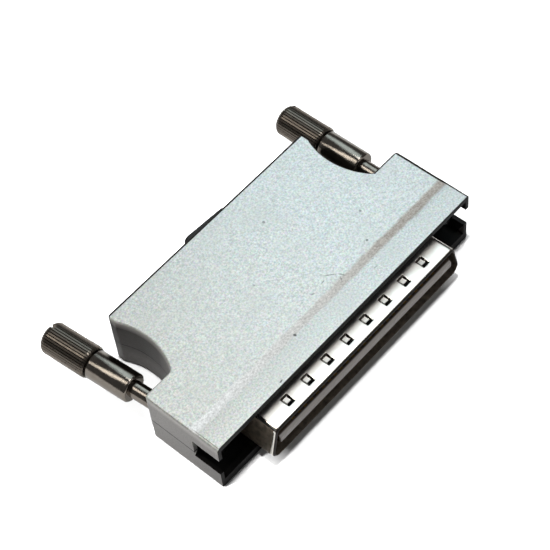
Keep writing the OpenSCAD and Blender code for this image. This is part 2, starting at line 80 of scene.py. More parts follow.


# Sprayed paint: a pale grain with glints of metal flake, drawn coarser than it is so that it shows,
# and soft clouds, with painted light that makes it warmer towards the left
PAINT_GRAIN = 0.3 * MM
GRAIN_SPAN = (0.3, 0.7)
FLAKE = 0.24 * MM
FLAKE_SHARE = 0.09
PAINT_CLOUD = 7 * MM
CLOUD_SPAN = (0.35, 0.7)
CLOUD_SHARE = 0.35
PAINTED_WARM_X = (-24 * MM, 12 * MM)
silver_paint, tree, shader, place = start_finish("silver_spray_paint", Metallic=0.45)
axes = add(tree, "ShaderNodeSeparateXYZ", {0: place})
facing = add(tree, "ShaderNodeSeparateXYZ", {0: add(tree, "ShaderNodeNewGeometry").outputs["Normal"]})
grain = add(tree, "ShaderNodeTexNoise", {"Vector": place, "Scale": 1 / PAINT_GRAIN, "Detail": 4,
                                         "Roughness": 0.7})
glint = add(tree, "ShaderNodeTexVoronoi", {"Vector": place, "Scale": 1 / FLAKE})
cloud = add(tree, "ShaderNodeTexNoise", {"Vector": place, "Scale": 1 / PAINT_CLOUD, "Detail": 2})
flake = add(tree, "ShaderNodeMapRange", {"Value": grain.outputs["Fac"], "From Min": GRAIN_SPAN[0],
                                         "From Max": GRAIN_SPAN[1]})
base = add(tree, "ShaderNodeMix", {0: flake.outputs[0], 6: linear("#A8B0AE"), 7: linear("#F3F6F4")},
           data_type="RGBA")
base = add(tree, "ShaderNodeMix", {0: FLAKE_SHARE, 6: base.outputs[2], 7: glint.outputs["Color"]},
           data_type="RGBA")
drift = add(tree, "ShaderNodeMapRange", {"Value": cloud.outputs["Fac"], "From Min": CLOUD_SPAN[0],
                                         "From Max": CLOUD_SPAN[1], "To Max": CLOUD_SHARE})
base = add(tree, "ShaderNodeMix", {0: drift.outputs[0], 6: base.outputs[2], 7: linear("#CDD2CF")},
           data_type="RGBA")
# Painted light: the paint is tinted warmer towards the left
painted_warm_light = add(tree, "ShaderNodeMapRange", {"Value": axes.outputs["X"], "From Min": PAINTED_WARM_X[0],
                                        "From Max": PAINTED_WARM_X[1], "To Min": 1, "To Max": 0})
base = add(tree, "ShaderNodeMix", {0: painted_warm_light.outputs[0], 6: base.outputs[2], 7: linear("#FFFAF5")},
           data_type="RGBA", blend_type="MULTIPLY")

# Painted highlight and painted shade on the ramp: a wavy stripe, pale on the left and brown on the right
RAMP_Y = -9.0 * MM
RAMP_HALF = 0.7 * MM
RAMP_EDGE = (-0.2 * MM, 0.25 * MM)
RAMP_WAVE = 2.2 * MM
RAMP_SWAY = 0.6 * MM
RAMP_X = (-24 * MM, 15 * MM)
wave = add(tree, "ShaderNodeTexNoise", {"Vector": place, "Scale": 1 / RAMP_WAVE, "Detail": 2})
sway = add(tree, "ShaderNodeMath", {0: wave.outputs["Fac"], 1: RAMP_SWAY, 2: axes.outputs["Y"]},
           operation="MULTIPLY_ADD")
off = add(tree, "ShaderNodeMath", {0: sway.outputs[0], 1: RAMP_Y + RAMP_SWAY / 2}, operation="SUBTRACT")
off = add(tree, "ShaderNodeMath", {0: off.outputs[0]}, operation="ABSOLUTE")
band = add(tree, "ShaderNodeMapRange", {"Value": off.outputs[0], "From Min": RAMP_HALF + RAMP_EDGE[0],
                                        "From Max": RAMP_HALF + RAMP_EDGE[1], "To Min": 1, "To Max": 0})
along = add(tree, "ShaderNodeMapRange", {"Value": axes.outputs["X"], "From Min": RAMP_X[0],
                                         "From Max": RAMP_X[1]})
roof = add(tree, "ShaderNodeMath", {0: axes.outputs["Z"], 1: ROOF_LOW}, operation="GREATER_THAN")
ramp_light_band = add(tree, "ShaderNodeMath", {0: band.outputs[0], 1: roof.outputs[0]}, operation="MULTIPLY")
dark = add(tree, "ShaderNodeMix", {0: along.outputs[0], 6: linear("#BFBBB8"), 7: linear("#857B73")},
           data_type="RGBA")
pale = add(tree, "ShaderNodeMix", {0: along.outputs[0], 6: linear("#FFFEFC"), 7: linear("#C6BCB3")},
           data_type="RGBA")
ramp_highlight_and_shade = add(tree, "ShaderNodeMix", {0: flake.outputs[0], 6: dark.outputs[2], 7: pale.outputs[2]},
           data_type="RGBA")
# The ramp's painted highlight and painted shade lie over the paint
base = add(tree, "ShaderNodeMix", {0: ramp_light_band.outputs[0], 6: base.outputs[2], 7: ramp_highlight_and_shade.outputs[2]},
           data_type="RGBA")

# Marks on the roof: place, half length and half width in millimetres, turn in degrees, and depth
ROOF_MARKS = [
    (5.08, 6.67, 0.3, 0.3, 0, 0.6), (15.24, -2.94, 0.28, 0.28, 0, 0.6),
    (11.82, -7.03, 0.28, 0.24, 0, 0.7), (11.14, -7.06, 0.7, 0.09, 37, 0.35),
    (-6.83, -9.6, 0.36, 0.26, -75, 0.95), (-4.04, 0.42, 0.22, 0.22, 0, 0.5),
    (-13.62, -13.02, 0.4, 0.17, 4, 0.85), (3.88, -6.74, 1.25, 0.12, -41, 0.65),
    (4.99, -7.96, 0.6, 0.12, -63, 0.65), (4.43, -8.39, 0.55, 0.11, 56, 0.55),
    (2.35, -6.8, 0.45, 0.14, 4, 0.5), (-0.06, -7.02, 0.4, 0.17, -23, 0.5),
    (8.86, -11.04, 0.45, 0.11, -7, 0.5)]
MARK_JITTER = 0.16
MARK_HEIGHT = 1.5
MARK_CORE = 0.5
jitter = add(tree, "ShaderNodeVectorMath", {0: grain.outputs["Color"], 1: (MARK_JITTER * MM,) * 3, 2: place},
             operation="MULTIPLY_ADD")
for x, y, half_l, half_w, turn, deep in ROOF_MARKS:
    middle = ((x + MARK_JITTER / 2) * MM, (y + MARK_JITTER / 2) * MM, ROOF_Z)
    spot = add(tree, "ShaderNodeMapping", {"Vector": jitter.outputs[0], "Location": middle,
                                           "Rotation": (0, 0, math.radians(turn)),
                                           "Scale": (half_l * MM, half_w * MM, MARK_HEIGHT * MM)},
               vector_type="TEXTURE")
    reach = add(tree, "ShaderNodeVectorMath", {0: spot.outputs[0]}, operation="LENGTH")
    mark = add(tree, "ShaderNodeMapRange", {"Value": reach.outputs["Value"], "From Min": MARK_CORE,
                                            "To Min": deep, "To Max": 0})
    base = add(tree, "ShaderNodeMix", {0: mark.outputs[0], 6: base.outputs[2], 7: linear("#4A4B49")},
               data_type="RGBA")

# Walls: painted shade makes them darker than the roof, with an open seam; darker at the lower front,
# deep painted shade in the scallops and a painted highlight under the roof's edge
WALL_SHADE_SPAN = (0.15, 0.82)
TOP_SKIN = 0.02 * MM
LOWER_FRONT_LENGTH = 7 * MM
LOWER_FRONT_SHARE = (0.5, 0.1)
SCALLOP_Y = (-0.2 * MM, 4.5 * MM)
SCALLOP_Z = (SEAM_Z - 2 * MM, SEAM_Z + 0.5 * MM)
SCALLOP_LOW = 0.7
REAR_RIM = 12.75 * MM
REAR_FADE = 0.4 * MM
CROWN_Z = (ROOF_Z - 1.5 * MM, ROOF_Z - 0.6 * MM)
CROWN_SHARE = 0.7
SEAM_HALF = 0.12 * MM
# Painted shade: the walls take a darker colour than the roof, by how steeply they face
wall_shade = add(tree, "ShaderNodeMath", {0: facing.outputs["Z"]}, operation="ABSOLUTE")
wall_shade = add(tree, "ShaderNodeMapRange", {"Value": wall_shade.outputs[0], "From Min": WALL_SHADE_SPAN[0],
                                         "From Max": WALL_SHADE_SPAN[1], "To Min": 1, "To Max": 0},
            interpolation_type="SMOOTHSTEP")
below = add(tree, "ShaderNodeMath", {0: axes.outputs["Z"], 1: ROOF_Z - TOP_SKIN}, operation="LESS_THAN")
wall_shade = add(tree, "ShaderNodeMath", {0: wall_shade.outputs[0], 1: below.outputs[0]}, operation="MULTIPLY")
side = add(tree, "ShaderNodeMix", {0: flake.outputs[0], 6: linear("#898684"), 7: linear("#ADAAA7")},
           data_type="RGBA")
low = add(tree, "ShaderNodeMath", {0: axes.outputs["Z"], 1: SEAM_Z}, operation="LESS_THAN")
# Darker at the lower front, below the seam
lower_front_dark = add(tree, "ShaderNodeMapRange", {"Value": axes.outputs["Y"], "From Min": FRONT_Y,
                                        "From Max": FRONT_Y + LOWER_FRONT_LENGTH, "To Min": LOWER_FRONT_SHARE[0],
                                        "To Max": LOWER_FRONT_SHARE[1]})
lower_front_dark = add(tree, "ShaderNodeMath", {0: lower_front_dark.outputs[0], 1: low.outputs[0]}, operation="MULTIPLY")
side = add(tree, "ShaderNodeMix", {0: lower_front_dark.outputs[0], 6: side.outputs[2], 7: linear("#4F4D4C")},
           data_type="RGBA")
# Painted shade in the scallops, less of it towards their foot
scallop_shade = add(tree, "ShaderNodeMapRange", {"Value": axes.outputs["Y"], "From Min": SCALLOP_Y[0],
                                          "From Max": SCALLOP_Y[1]})
upper = add(tree, "ShaderNodeMapRange", {"Value": axes.outputs["Z"], "From Min": SCALLOP_Z[0],
                                         "From Max": SCALLOP_Z[1], "To Min": SCALLOP_LOW})
scallop_shade = add(tree, "ShaderNodeMath", {0: scallop_shade.outputs[0], 1: upper.outputs[0]}, operation="MULTIPLY")
behind = add(tree, "ShaderNodeMapRange", {"Value": axes.outputs["Y"], "From Min": REAR_RIM,
                                          "From Max": REAR_RIM + REAR_FADE, "To Min": 1, "To Max": 0})
scallop_shade = add(tree, "ShaderNodeMath", {0: scallop_shade.outputs[0], 1: behind.outputs[0]}, operation="MULTIPLY")
wall = add(tree, "ShaderNodeMix", {0: scallop_shade.outputs[0], 6: side.outputs[2], 7: linear("#4A4643")},
           data_type="RGBA")
# Painted highlight along the top of the walls, under the roof's rounded edge
crown = add(tree, "ShaderNodeMapRange", {"Value": axes.outputs["Z"], "From Min": CROWN_Z[0],
                                         "From Max": CROWN_Z[1], "To Max": CROWN_SHARE})
wall = add(tree, "ShaderNodeMix", {0: crown.outputs[0], 6: wall.outputs[2], 7: linear("#CFCDC8")},
           data_type="RGBA")
seam = add(tree, "ShaderNodeMath", {0: axes.outputs["Z"], 1: SEAM_Z, 2: SEAM_HALF}, operation="COMPARE")
wall = add(tree, "ShaderNodeMix", {0: seam.outputs[0], 6: wall.outputs[2], 7: linear("#1E1C1B")},
           data_type="RGBA")
base = add(tree, "ShaderNodeMix", {0: wall_shade.outputs[0], 6: base.outputs[2], 7: wall.outputs[2]},
           data_type="RGBA")

# Painted shade on the edges: dark, dull lines round the roof on the right, at the rear and behind the right
# ear
RIGHT_RIM = 26.48 * MM
RIGHT_EAR = 18 * MM
EAR_START = 21.7 * MM
HEEL_Y = -0.15 * MM
HEEL_HALF = 0.2 * MM
AWAY_SPAN = (0.03, 0.12)
EDGE_Z = (ROOF_Z - 0.42 * MM, ROOF_Z - 0.36 * MM)
right = add(tree, "ShaderNodeMath", {0: axes.outputs["X"], 1: RIGHT_RIM}, operation="GREATER_THAN")
rear = add(tree, "ShaderNodeMath", {0: axes.outputs["Y"], 1: REAR_RIM}, operation="GREATER_THAN")
rim = add(tree, "ShaderNodeMath", {0: right.outputs[0], 1: rear.outputs[0]}, operation="MAXIMUM")
heel = add(tree, "ShaderNodeMath", {0: axes.outputs["Y"], 1: HEEL_Y, 2: HEEL_HALF}, operation="COMPARE")
outer = add(tree, "ShaderNodeMath", {0: axes.outputs["X"], 1: EAR_START}, operation="GREATER_THAN")
heel = add(tree, "ShaderNodeMath", {0: heel.outputs[0], 1: outer.outputs[0]}, operation="MULTIPLY")
away = add(tree, "ShaderNodeMath", {0: facing.outputs["X"], 1: facing.outputs["Y"]}, operation="MAXIMUM")
away = add(tree, "ShaderNodeMapRange", {"Value": away.outputs[0], "From Min": AWAY_SPAN[0],
                                        "From Max": AWAY_SPAN[1]})
away = add(tree, "ShaderNodeMath", {0: heel.outputs[0], 1: away.outputs[0]}, operation="MAXIMUM")
ear = add(tree, "ShaderNodeMath", {0: axes.outputs["X"], 1: RIGHT_EAR}, operation="GREATER_THAN")
ear = add(tree, "ShaderNodeMath", {0: ear.outputs[0], 1: away.outputs[0]}, operation="MULTIPLY")
rim = add(tree, "ShaderNodeMath", {0: rim.outputs[0], 1: ear.outputs[0]}, operation="MAXIMUM")
edge = add(tree, "ShaderNodeMapRange", {"Value": axes.outputs["Z"], "From Min": EDGE_Z[0],
                                        "From Max": EDGE_Z[1]})
# Painted shade along the rounded edges that turn away from the light
edge_shade = add(tree, "ShaderNodeMath", {0: rim.outputs[0], 1: edge.outputs[0]}, operation="MULTIPLY")
base = add(tree, "ShaderNodeMix", {0: edge_shade.outputs[0], 6: base.outputs[2], 7: linear("#3A3735")},
           data_type="RGBA")
tree.links.new(base.outputs[2], shader.inputs["Base Color"])

# Satin gloss that changes with the clouds, and the grain's relief
PAINT_GLOSS = (0.34, 0.42)
PAINT_RELIEF = 0.04 * MM
gloss = add(tree, "ShaderNodeMapRange", {"Value": cloud.outputs["Fac"], "To Min": PAINT_GLOSS[0],
                                         "To Max": PAINT_GLOSS[1]})
gloss = add(tree, "ShaderNodeMath", {0: gloss.outputs[0], 1: edge_shade.outputs[0]}, operation="MAXIMUM")
tree.links.new(gloss.outputs[0], shader.inputs["Roughness"])
bump = add(tree, "ShaderNodeBump", {"Height": grain.outputs["Fac"], "Strength": 0.5,
                                    "Distance": PAINT_RELIEF})
tree.links.new(bump.outputs[0], shader.inputs["Normal"])


def mottled(name, grain, dark, pale, detail=3, gloss=None, relief=None, **sockets):
    """New finish in two tones of a noise, whose roughness and relief may follow the noise."""
    made, tree, shader, place = start_finish(name, **sockets)
    noise = add(tree, "ShaderNodeTexNoise", {"Vector": place, "Scale": 1 / grain, "Detail": detail})
    tone = add(tree, "ShaderNodeMix", {0: noise.outputs["Fac"], 6: linear(dark), 7: linear(pale)},
               data_type="RGBA")
    tree.links.new(tone.outputs[2], shader.inputs["Base Color"])
    if gloss:
        rough = add(tree, "ShaderNodeMapRange", {"Value": noise.outputs["Fac"], "To Min": gloss[0],
                                                 "To Max": gloss[1]})
        tree.links.new(rough.outputs[0], shader.inputs["Roughness"])
    if relief:
        bump = add(tree, "ShaderNodeBump", {"Height": noise.outputs["Fac"], "Strength": relief[0],
                                            "Distance": relief[1]})
        tree.links.new(bump.outputs[0], shader.inputs["Normal"])
    return made, tree, shader, place, noise.outputs["Fac"], tone.outputs[2]


# Bare moulded ABS: black and dull, with the mould's faint spark-eroded texture, drawn coarse enough to show
MOULD_GRAIN = 0.25 * MM
MOULD_RELIEF = (0.3, 0.03 * MM)
black_abs = mottled("bare_black_abs", MOULD_GRAIN, "#070606", "#131211", relief=MOULD_RELIEF, Roughness=0.6,
                    Specular_IOR_Level=0.2)[0]

WELD = 0.0005 * MM
SPRAY_TILT = math.radians(45)
SPRAY_TURNS = 16
SPRAY_START = 0.01 * MM
SPRAY_GRAZE = 0.05
FRONT_FACING = -0.9
FRONT_SKIN = 0.05 * MM
FLAT_BELOW = math.radians(0.5)
COVER_SMOOTH = math.radians(35)
FACE_WEIGHT = 100


def put_mesh(name, mesh):
    """New piece at the origin."""
    made = bpy.data.objects.new(name, mesh)
    bpy.context.scene.collection.objects.link(made)
    return made


def settle(piece):
    """Turns the piece's modifiers into plain mesh."""
    graph = bpy.context.evaluated_depsgraph_get()
    mesh = bpy.data.meshes.new_from_object(piece.evaluated_get(graph), depsgraph=graph)
    piece.modifiers.clear()
    piece.data = mesh
    mesh.name = piece.name


def sprayed_cover(name, upward):
    """Cover with paint where a spray from its outer side reaches, except on its front faces, and black
    plastic elsewhere.
    """
    bm = bmesh.new()
    bm.from_mesh(nodes[name].data)
    bmesh.ops.remove_doubles(bm, verts=bm.verts, dist=WELD)
    hull = BVHTree.FromBMesh(bm)
    jets = [Vector((0, 0, upward))]
    for i in range(SPRAY_TURNS):
        turn = 2 * math.pi * i / SPRAY_TURNS
        jets.append(Vector((math.cos(turn) * math.cos(SPRAY_TILT), math.sin(turn) * math.cos(SPRAY_TILT),
                            upward * math.sin(SPRAY_TILT))))
    for face in bm.faces:
        start = face.calc_center_median() + face.normal * SPRAY_START
        reached = any(face.normal.dot(jet) > SPRAY_GRAZE and hull.ray_cast(start, jet)[0] is None
                      for jet in jets)
        # Front faces are made black plastic too
        front = face.normal.y < FRONT_FACING and face.calc_center_median().y < FRONT_Y + FRONT_SKIN
        face.material_index = 0 if reached and not front else 1
        face.smooth = True
    bmesh.ops.dissolve_limit(bm, angle_limit=FLAT_BELOW, verts=bm.verts, edges=bm.edges, delimit={"MATERIAL"})
    mesh = bpy.data.meshes.new(name)
    bm.to_mesh(mesh)
    bm.free()
    mesh.materials.append(silver_paint)
    mesh.materials.append(black_abs)
    mesh.set_sharp_from_angle(angle=COVER_SMOOTH)
    piece = put_mesh("painted_" + name, mesh)
    flat = piece.modifiers.new("flat_faces", "WEIGHTED_NORMAL")
    flat.keep_sharp = True
    flat.weight = FACE_WEIGHT
    settle(piece)
    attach(piece, "hood")
    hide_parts(name)


sprayed_cover("lower_cover", -1)
sprayed_cover("upper_cover", 1)

# Plug shell: thin steel sheet drawn to a D-shaped tube with a rolled front edge and a flange behind,
# then pressed with a row of shallow dimples and nickel plated. It is dull brown inside; its end walls and its
# lip are dark brown as painted dark reflection, with a bright strip at the front of each end wall.
SHIFT_X = 0.3
SHELL_HALF_TOP = 19.45
SHELL_HALF_LOW = 20.4
SHELL_Z = (1.7, 8.1)
SHELL_R_TOP = 0.9
SHELL_R_LOW = 1.5
SHEET = 0.38
SHELL_FRONT = -16.65
BRIGHT_EDGE = 0.55
FLANGE_Y = -8.6
FLANGE_HALF = (22.2, 3.6)
PLUG_Z = 4.9
DIMPLE_COUNT = 8
DIMPLE_PITCH = 4.17
DIMPLES = [(i - (DIMPLE_COUNT - 1) / 2) * DIMPLE_PITCH for i in range(DIMPLE_COUNT)]
DIMPLE_HALF = 0.67
DIMPLE_SIDE = 0.27
DIMPLE_Y = (-15.5, -14.72, -13.95, -13.68)
DIMPLE_DEEP = 0.26
DIMPLE_ROUND = 0.6
TOP_COLUMNS = 512
LOW_COLUMNS = 24
CORNER_STEPS = 8
EDGE_STEPS = 6
BACK_ROWS = [-10.5, -12.5, -13.4]
DIMPLE_ROWS = [-13.6 - 0.07 * i for i in range(29)]
FRONT_ROWS = [-15.75, SHELL_FRONT + BRIGHT_EDGE]
HAIR = 0.001
LEAN = math.degrees(math.atan2(SHELL_HALF_LOW - SHELL_HALF_TOP, SHELL_Z[1] - SHELL_Z[0]))


def loft(name, rings, turn_closed=False, capped=False):
    """Mesh through closed rings of points in millimetres, as many in each."""
    bm = bmesh.new()
    rows = [[bm.verts.new(Vector(p) * MM) for p in ring] for ring in rings]
    count = len(rows[0])
    pairs = list(zip(rows, rows[1:])) + ([(rows[-1], rows[0])] if turn_closed else [])
    for one, two in pairs:
        for i in range(count):
            j = (i + 1) % count
            bm.faces.new((one[i], one[j], two[j], two[i]))
    if capped:
        bm.faces.new(rows[0])
        bm.faces.new(rows[-1])
    bmesh.ops.recalc_face_normals(bm, faces=bm.faces)
    for face in bm.faces:
        face.smooth = True
    mesh = bpy.data.meshes.new(name)
    bm.to_mesh(mesh)
    bm.free()
    return mesh


def arc(cx, cz, r, start, end, steps):
    """Points of an arc in X and Z."""
    turns = [math.radians(start + (end - start) * i / steps) for i in range(steps + 1)]
    return [(cx + r * math.cos(t), cz + r * math.sin(t)) for t in turns]


def shell_section(inset):
    """Rounded trapezium of the shell, drawn in, from the right lower corner over the top and back."""
    low = (SHELL_HALF_LOW - SHELL_R_LOW, SHELL_Z[0] + SHELL_R_LOW, SHELL_R_LOW - inset)
    top = (SHELL_HALF_TOP - SHELL_R_TOP, SHELL_Z[1] - SHELL_R_TOP, SHELL_R_TOP - inset)
    right = arc(*low, -90, LEAN, CORNER_STEPS) + arc(*top, LEAN, 90, CORNER_STEPS)
    crown = [(top[0] * (1 - 2 * i / TOP_COLUMNS), SHELL_Z[1] - inset) for i in range(1, TOP_COLUMNS)]
    left = [(-x, z) for x, z in reversed(right)]
    keel = [(low[0] * (2 * i / LOW_COLUMNS - 1), SHELL_Z[0] + inset) for i in range(1, LOW_COLUMNS)]
    return right + crown + left + keel


def flange_edge():
    """Outer edge of the flange with one point for each point of the shell's section."""
    half_w, half_h = FLANGE_HALF
    side = 2 * CORNER_STEPS + 1
    right = [(half_w, PLUG_Z + half_h * (2 * i / side - 1)) for i in range(side + 1)]
    crown = [(half_w * (1 - 2 * i / TOP_COLUMNS), PLUG_Z + half_h) for i in range(1, TOP_COLUMNS)]
    left = [(-x, z) for x, z in reversed(right)]
    keel = [(half_w * (2 * i / LOW_COLUMNS - 1), PLUG_Z - half_h) for i in range(1, LOW_COLUMNS)]
    return right + crown + left + keel


def ease(value):
    """Clamped, and partly rounded off at both ends."""
    value = max(0.0, min(1.0, value))
    return value * value * (3 - 2 * value) * DIMPLE_ROUND + value * (1 - DIMPLE_ROUND)


def dimple_depth(x, y):
    """Depth of the pressed dimples at a point of the shell's top."""
    near = min(abs(x - centre) for centre in DIMPLES)
    start, floor_start, floor_end, end = DIMPLE_Y
    side = (DIMPLE_HALF - near) / DIMPLE_SIDE
    return DIMPLE_DEEP * ease(min(side, (y - start) / (floor_start - start), (end - y) / (end - floor_end)))


def shell_ring(inset, y):
    """Ring of the shell at one depth, with its top pressed in at the dimples."""
    ring = []
    for x, z in shell_section(inset):
        flat = z > SHELL_Z[1] - inset - HAIR and abs(x) < SHELL_HALF_TOP - SHELL_R_TOP
        ring.append((x + SHIFT_X, y, z - (dimple_depth(x, y) if flat else 0)))
    return ring


rows = BACK_ROWS + DIMPLE_ROWS + FRONT_ROWS
rings = [shell_ring(0, y) for y in rows]
for i in range(EDGE_STEPS + 1):
    turn = math.radians(90 * i / EDGE_STEPS)
    rings.append(shell_ring(SHEET * (1 - math.cos(turn)), SHELL_FRONT + SHEET * (1 - math.sin(turn))))
rings += [shell_ring(SHEET, y) for y in reversed(rows)]
rings += [shell_ring(SHEET, FLANGE_Y + SHEET)]
rings += [[(x + SHIFT_X, y, z) for x, z in flange_edge()] for y in (FLANGE_Y + SHEET, FLANGE_Y)]
rings += [shell_ring(0, FLANGE_Y)]

# Bright nickel: satin on the flats and burnished on bends and ramps, with dull patches and with drawing
# marks along the tube, coarser than real ones so that they show
DRAW_MARK = (0.2 * MM, 2.5 * MM)
DRAW_RELIEF = 0.01 * MM
NICKEL_PATCH = 1.6 * MM
PATCH_SPAN = (0.4, 0.7)
FLAT_GLOSS = (0.33, 0.43)
BEND_GLOSS = 0.15
BEND_SPAN = (0.94, 0.995)
bright_nickel, tree, shader, place, patch, _ = mottled("bright_nickel_plate", NICKEL_PATCH, "#F3F0EA",
                                                       "#E2DDD4", Metallic=1)
fine, long = DRAW_MARK
drawn = add(tree, "ShaderNodeMapping", {"Vector": place, "Scale": (1 / fine, 1 / long, 1 / fine)})
marks = add(tree, "ShaderNodeTexNoise", {"Vector": drawn.outputs[0], "Scale": 1, "Detail": 3})
dull = add(tree, "ShaderNodeMapRange", {"Value": patch, "From Min": PATCH_SPAN[0], "From Max": PATCH_SPAN[1],
                                        "To Min": FLAT_GLOSS[0], "To Max": FLAT_GLOSS[1]})
facing = add(tree, "ShaderNodeSeparateXYZ", {0: add(tree, "ShaderNodeNewGeometry").outputs["Normal"]})
level = add(tree, "ShaderNodeMapRange", {"Value": facing.outputs["Z"], "From Min": BEND_SPAN[0],
                                         "From Max": BEND_SPAN[1]})
gloss = add(tree, "ShaderNodeMix", {0: level.outputs[0], 2: BEND_GLOSS, 3: dull.outputs[0]},
            data_type="FLOAT")
tree.links.new(gloss.outputs[0], shader.inputs["Roughness"])
bump = add(tree, "ShaderNodeBump", {"Height": marks.outputs["Fac"], "Strength": 0.06,
                                    "Distance": DRAW_RELIEF})
tree.links.new(bump.outputs[0], shader.inputs["Normal"])

# Dull brown plate: tarnished and blotched inside. On the end walls and the lip it stands for painted dark
# reflection, almost black where the lip faces forwards
TARNISH = 0.7 * MM
TARNISH_GLOSS = (0.35, 0.55)
LIP_SPAN = (-0.6, -0.2)
dull_plate_and_painted_reflection, tree, shader, _, _, tone = mottled("dull_brown_plate", TARNISH, "#2E261F", "#A39684", detail=4,
                                                gloss=TARNISH_GLOSS, Metallic=0.6)
facing = add(tree, "ShaderNodeSeparateXYZ", {0: add(tree, "ShaderNodeNewGeometry").outputs["Normal"]})
# Painted dark reflection on the lip where it faces forwards
lip = add(tree, "ShaderNodeMapRange", {"Value": facing.outputs["Y"], "From Min": LIP_SPAN[0],
                                       "From Max": LIP_SPAN[1], "To Min": 1, "To Max": 0})
base = add(tree, "ShaderNodeMix", {0: lip.outputs[0], 6: tone, 7: linear("#1A1410")}, data_type="RGBA")
tree.links.new(base.outputs[2], shader.inputs["Base Color"])

END_FACING = 0.8
LIP_FACING = -0.3
SHELL_SMOOTH = math.radians(50)
mesh = loft("drawn_shell", rings, turn_closed=True)
mesh.materials.append(bright_nickel)
mesh.materials.append(dull_plate_and_painted_reflection)
around = len(rings[0])
for face in mesh.polygons:
    inside = len(rows) + EDGE_STEPS // 2 <= face.index // around < 2 * len(rows) + EDGE_STEPS + 1
    # Painted reflection: the end walls behind their bright front strip and the lip facing forwards take the
    # dark plate
    end_wall = abs(face.normal.x) > END_FACING
    rim = face.center.y < (SHELL_FRONT + BRIGHT_EDGE) * MM
    lip = not end_wall and face.normal.y < LIP_FACING
    face.material_index = 1 if inside or lip or (end_wall and not rim) else 0
mesh.set_sharp_from_angle(angle=SHELL_SMOOTH)
drawn_shell = put_mesh("drawn_shell", mesh)
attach(drawn_shell, "hood")
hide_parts("plug_shell")

# Rear frame, rivets and cable clamp: cut and folded steel sheet and small rivets, dull zinc plated.
# The frame backs the shell's flange, and the clamp's two halves grip the cable inside the hood.
# The zinc is a clouded light grey with a spangle in its shine.
ZINC_CLOUD = 1.2 * MM
ZINC_SPANGLE = 0.8 * MM
ZINC_GLOSS = (0.32, 0.5)
zinc_sheet, tree, shader, place, _, _ = mottled("dull_zinc_plate", ZINC_CLOUD, "#8F8F8A", "#B9B9B2", detail=4,
                                                Metallic=1)
spangle = add(tree, "ShaderNodeTexVoronoi", {"Vector": place, "Scale": 1 / ZINC_SPANGLE})
gloss = add(tree, "ShaderNodeMapRange", {"Value": spangle.outputs["Distance"], "To Min": ZINC_GLOSS[0],
                                         "To Max": ZINC_GLOSS[1]})
tree.links.new(gloss.outputs[0], shader.inputs["Roughness"])


def dress(material, *names):
    """Gives CAD nodes a finish."""
    for name in names:
        for slot in nodes[name].material_slots:
            slot.material = material


dress(zinc_sheet, "rear_frame", "shell_rivets", "clamp_lower", "clamp_upper")

# Contact housing: the bar that carries the contacts and the block behind it, one moulding in
# dark brown glass-filled nylon, pressed into the shell from behind. The fibres mottle it, its skin is
# half glossy, and its front face is made pale, a painted highlight.
FIBRE = 0.3 * MM
FIBRE_RELIEF = (0.2, 0.02 * MM)
NOSE_Y = (-16.36 * MM, -16.24 * MM)
brown_nylon, tree, shader, place, _, tone = mottled("glass_filled_nylon", FIBRE, "#33281D", "#544536",
                                                    detail=4, relief=FIBRE_RELIEF, Roughness=0.42)
depth = add(tree, "ShaderNodeSeparateXYZ", {0: place})
# Painted highlight on the bar's front face
nose_highlight = add(tree, "ShaderNodeMapRange", {"Value": depth.outputs["Y"], "From Min": NOSE_Y[0],
                                        "From Max": NOSE_Y[1], "To Min": 1, "To Max": 0})
base = add(tree, "ShaderNodeMix", {0: nose_highlight.outputs[0], 6: tone, 7: linear("#CBC5C0")}, data_type="RGBA")
tree.links.new(base.outputs[2], shader.inputs["Base Color"])
dress(brown_nylon, "contact_housing")

# Contacts: narrow strips of copper alloy stamped from sheet and gold flashed, twenty-five on each face
# of the bar, with their solder tails bent outwards behind the housing. The flash is thin; it is drawn
# a dull yellow brown, mottled.
ROW_COUNT = 25
PITCH = 1.27 * MM
CONTACT_HALF = 0.31
CONTACT_T = 0.2
CONTACT_Z = 5.55
STRIP_Y = (-16.07, -3.9, -3.2, -0.8)
STRIP_NOSE = 0.25
TAIL_RISE = 0.7
GOLD_MOTTLE = 0.9 * MM
GOLD_GLOSS = (0.35, 0.5)
gold_flash = mottled("gold_flashed_copper_alloy", GOLD_MOTTLE, "#6E5836", "#93794C", gloss=GOLD_GLOSS,
                     Metallic=1)[0]

row_tree = bpy.data.node_groups.new("contact_row", "GeometryNodeTree")
sockets = {}
for title, kind in (("Strip", "NodeSocketObject"), ("Count", "NodeSocketInt"), ("Pitch", "NodeSocketFloat"),
                    ("Finish", "NodeSocketMaterial")):
    sockets[title] = row_tree.interface.new_socket(title, in_out="INPUT", socket_type=kind)
row_tree.interface.new_socket("Geometry", in_out="OUTPUT", socket_type="NodeSocketGeometry")
given = row_tree.nodes.new("NodeGroupInput").outputs
first = add(row_tree, "ShaderNodeMath", {0: given["Count"], 1: 1}, operation="SUBTRACT")
first = add(row_tree, "ShaderNodeMath", {0: first.outputs[0], 1: -0.5}, operation="MULTIPLY")
first = add(row_tree, "ShaderNodeMath", {0: first.outputs[0], 1: given["Pitch"], 2: SHIFT_X * MM},
            operation="MULTIPLY_ADD")
start = add(row_tree, "ShaderNodeCombineXYZ", {"X": first.outputs[0]})
step = add(row_tree, "ShaderNodeCombineXYZ", {"X": given["Pitch"]})
line = add(row_tree, "GeometryNodeMeshLine", {"Count": given["Count"], "Start Location": start.outputs[0],
                                              "Offset": step.outputs[0]})
strip = add(row_tree, "GeometryNodeObjectInfo", {"Object": given["Strip"]})
laid = add(row_tree, "GeometryNodeInstanceOnPoints", {"Points": line.outputs[0],
                                                      "Instance": strip.outputs["Geometry"]})
real = add(row_tree, "GeometryNodeRealizeInstances", {0: laid.outputs[0]})
faced = add(row_tree, "GeometryNodeSetMaterial", {"Geometry": real.outputs[0], "Material": given["Finish"]})
add(row_tree, "NodeGroupOutput", {0: faced.outputs[0]})


